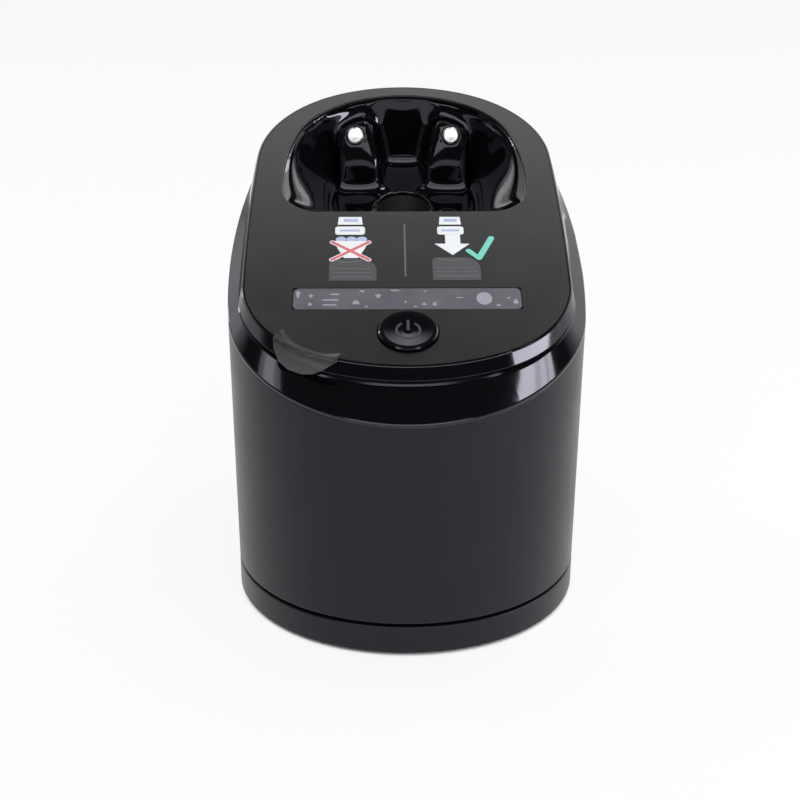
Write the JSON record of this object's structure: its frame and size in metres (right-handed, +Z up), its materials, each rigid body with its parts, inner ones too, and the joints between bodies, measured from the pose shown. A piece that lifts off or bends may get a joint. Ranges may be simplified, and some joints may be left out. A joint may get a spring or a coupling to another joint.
{
  "type": "shaver cleaning station",
  "caption": "Lift-up shaver cleaning station: sloping top with a moulded cradle, display bar and power button over a fluid cartridge with a pump.",
  "frame": {"origin": "on the table under the middle of the station", "axes": "+X right, +Y towards the back, +Z up; the sloping top faces -Y and +Z"},
  "size_m": [0.11, 0.1572, 0.1406],
  "materials": {
    "charcoal_satin": "satin",
    "charcoal_gloss": "gloss",
    "gloss_black": "gloss",
    "matt_panel": "matt",
    "black_plastic": "satin",
    "smoked_window": "satin",
    "frosted_white": "frosted",
    "board_green": "satin",
    "white_acetal": "satin",
    "cartridge_blue": "satin",
    "translucent_tank": "satin",
    "hose_clear": "satin",
    "foot_rubber": "matt",
    "plated_steel": "plated",
    "steel_screws": "plated",
    "plated_pins": "polished"
  },
  "bodies": {
    "base": {"base_tray": "charcoal_satin", "base_feet": "foot_rubber", "power_inlet": "black_plastic", "inlet_pins": "plated_pins", "guide_column": "white_acetal", "column_screws": "steel_screws", "cartridge_tank": "translucent_tank", "cartridge_lid": "cartridge_blue", "cartridge_seal": "foot_rubber", "cartridge_filter": "white_acetal"},
    "top": {"outer_shell": "charcoal_satin", "bevel_ring": "gloss_black", "top_cover": "gloss_black", "top_panel": "matt_panel", "cradle": "charcoal_gloss", "drain_cup": "black_plastic", "drain_strainer": "plated_steel", "fluid_nozzle": "black_plastic", "display_lens": "smoked_window", "light_guide": "frosted_white", "control_board": "board_green", "board_screws": "steel_screws", "tact_switch": "black_plastic", "status_lights": "frosted_white", "chassis": "black_plastic", "guide_shoes": "white_acetal", "housing_screws": "steel_screws", "release_retainer": "black_plastic", "latch_spring": "plated_steel", "pump_motor": "plated_steel", "motor_gasket": "foot_rubber", "motor_clamp": "black_plastic", "clamp_screws": "steel_screws", "pump_housing": "black_plastic", "pump_bearing": "white_acetal", "riser_tube": "hose_clear", "button_spring": "plated_steel", "release_spring": "plated_steel", "contact_spring_left": "plated_steel", "contact_spring_right": "plated_steel"},
    "power_button": {"power_button": "charcoal_gloss"},
    "release_button": {"release_button": "charcoal_satin"},
    "contact_left": {"contact_left": "plated_pins"},
    "contact_right": {"contact_right": "plated_pins"},
    "pump_rotor": {"pump_shaft": "plated_steel", "impeller": "white_acetal"}
  },
  "joints": [
    {"name": "top_lift", "type": "slide", "parent": "base", "child": "top", "axis": [0, 0, 1], "range_m": [0, 0.058]},
    {"name": "power_press", "type": "slide", "parent": "top", "child": "power_button", "axis": [0, 0.3584, -0.9336], "range_m": [0, 0.0006], "stiffness_N_per_m": 900, "deforming": ["button_spring"]},
    {"name": "release_press", "type": "slide", "parent": "top", "child": "release_button", "axis": [0, -1, 0], "range_m": [0, 0.002], "stiffness_N_per_m": 500, "deforming": ["release_spring", "latch_spring"]},
    {"name": "contact_left_press", "type": "slide", "parent": "top", "child": "contact_left", "axis": [0, 0.9659, -0.2588], "range_m": [0, 0.0008], "stiffness_N_per_m": 400, "deforming": ["contact_spring_left"]},
    {"name": "contact_right_press", "type": "slide", "parent": "top", "child": "contact_right", "axis": [0, 0.9659, -0.2588], "range_m": [0, 0.0008], "stiffness_N_per_m": 400, "deforming": ["contact_spring_right"]},
    {"name": "pump_spin", "type": "hinge", "parent": "top", "child": "pump_rotor", "pos_m": [0, -0.034, 0.0146], "axis": [0, 0, 1], "continuous": true}
  ]
}
